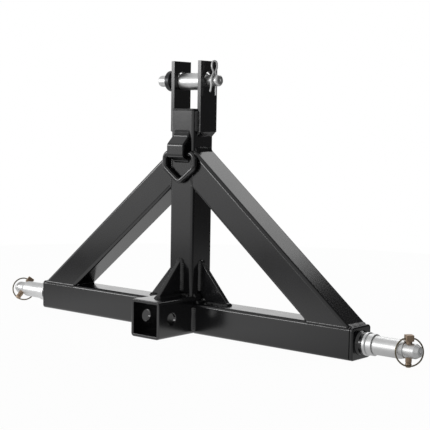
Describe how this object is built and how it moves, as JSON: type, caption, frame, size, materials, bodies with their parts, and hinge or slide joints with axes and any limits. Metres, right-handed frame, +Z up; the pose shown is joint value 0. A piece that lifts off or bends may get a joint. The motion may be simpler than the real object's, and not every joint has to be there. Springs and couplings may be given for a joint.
{
  "type": "three-point receiver hitch",
  "caption": "Welded A-frame of square tube for a tractor's three-point linkage, with a 2 inch receiver, lower link pins, top link clevis, lynch pins and a lashing ring.",
  "frame": {"origin": "on the underside of the receiver tube, straight below the mast's centre line", "axes": "+X to the right along the lower link pins, +Y to the back, towards the tractor, +Z up the mast; the receiver's mouth faces -Y"},
  "size_m": [0.8942, 0.1362, 0.4543],
  "materials": {
    "black_paint": "satin black powder coat",
    "painted_weld": "weld bead under black powder coat",
    "zinc_plate": "clear zinc plated turned steel",
    "yellow_zinc": "aged yellow zinc on forged steel",
    "spring_wire": "dull yellow zinc on spring wire",
    "clip_wire": "bright zinc on spring wire"
  },
  "bodies": {
    "frame": {"receiver_tube": "black_paint", "crossbar_left": "black_paint", "crossbar_right": "black_paint", "end_plate_left": "black_paint", "end_plate_right": "black_paint", "mast_post": "black_paint", "mast_cap": "black_paint", "brace_left": "black_paint", "brace_right": "black_paint", "front_gusset": "black_paint", "gusset_left": "black_paint", "gusset_right": "black_paint", "ear_left": "black_paint", "ear_right": "black_paint", "ring_bracket": "black_paint", "pin_boss_left": "black_paint", "pin_boss_right": "black_paint", "hitch_pin_left": "zinc_plate", "hitch_pin_right": "zinc_plate", "receiver_welds": "painted_weld", "mast_foot_welds": "painted_weld", "brace_welds": "painted_weld", "gusset_welds": "painted_weld", "ear_welds": "painted_weld", "bracket_welds": "painted_weld"},
    "lashing_ring": {"lashing_ring": "black_paint"},
    "top_link_pin": {"top_link_pin": "zinc_plate"},
    "hairpin_clip": {"hairpin_clip": "clip_wire"},
    "top_link_bushing": {"top_link_bushing": "zinc_plate"},
    "pin_bushing_left": {"pin_bushing_left": "zinc_plate"},
    "pin_bushing_right": {"pin_bushing_right": "zinc_plate"},
    "lynch_pin_left": {"lynch_pin_left": "yellow_zinc"},
    "lynch_pin_right": {"lynch_pin_right": "yellow_zinc"},
    "lynch_ring_left": {"lynch_ring_left": "spring_wire"},
    "lynch_ring_right": {"lynch_ring_right": "spring_wire"}
  },
  "joints": [
    {"name": "lashing_ring_swing", "type": "hinge", "parent": "frame", "child": "lashing_ring", "pos_m": [0, -0.0306, 0.2999], "axis": [-1, 0, 0], "range_deg": [0, 150]},
    {"name": "top_pin_slide", "type": "slide", "parent": "frame", "child": "top_link_pin", "axis": [1, 0, 0], "range_m": [-0.012, 0.0095]},
    {"name": "clip_pull", "type": "slide", "parent": "top_link_pin", "child": "hairpin_clip", "axis": [0, 0, 1], "range_m": [0, 0.06]},
    {"name": "top_bushing_spin", "type": "hinge", "parent": "frame", "child": "top_link_bushing", "pos_m": [0, 0.0033, 0.41947], "axis": [1, 0, 0], "continuous": true},
    {"name": "bushing_spin_right", "type": "hinge", "parent": "frame", "child": "pin_bushing_right", "pos_m": [0.397, 0, 0.0254], "axis": [1, 0, 0], "continuous": true},
    {"name": "bushing_spin_left", "type": "hinge", "parent": "frame", "child": "pin_bushing_left", "pos_m": [-0.397, 0, 0.0254], "axis": [-1, 0, 0], "continuous": true},
    {"name": "lynch_pin_slide_right", "type": "slide", "parent": "frame", "child": "lynch_pin_right", "axis": [0, 0, 1], "range_m": [0, 0.06]},
    {"name": "lynch_pin_slide_left", "type": "slide", "parent": "frame", "child": "lynch_pin_left", "axis": [0, 0.7071, 0.7071], "range_m": [0, 0.06]},
    {"name": "lynch_ring_flip_right", "type": "hinge", "parent": "lynch_pin_right", "child": "lynch_ring_right", "pos_m": [0.42745, 0, 0.04315], "axis": [-0.6691, -0.7431, 0], "range_deg": [0, 210]},
    {"name": "lynch_ring_flip_left", "type": "hinge", "parent": "lynch_pin_left", "child": "lynch_ring_left", "pos_m": [-0.42745, 0.01255, 0.03795], "axis": [0.5592, 0.5862, -0.5862], "range_deg": [0, 210]}
  ],
  "couplings": [
    {"joint": "lynch_ring_flip_right", "follows": "lynch_pin_slide_right", "rad_per_m": 61},
    {"joint": "lynch_ring_flip_left", "follows": "lynch_pin_slide_left", "rad_per_m": 61}
  ]
}
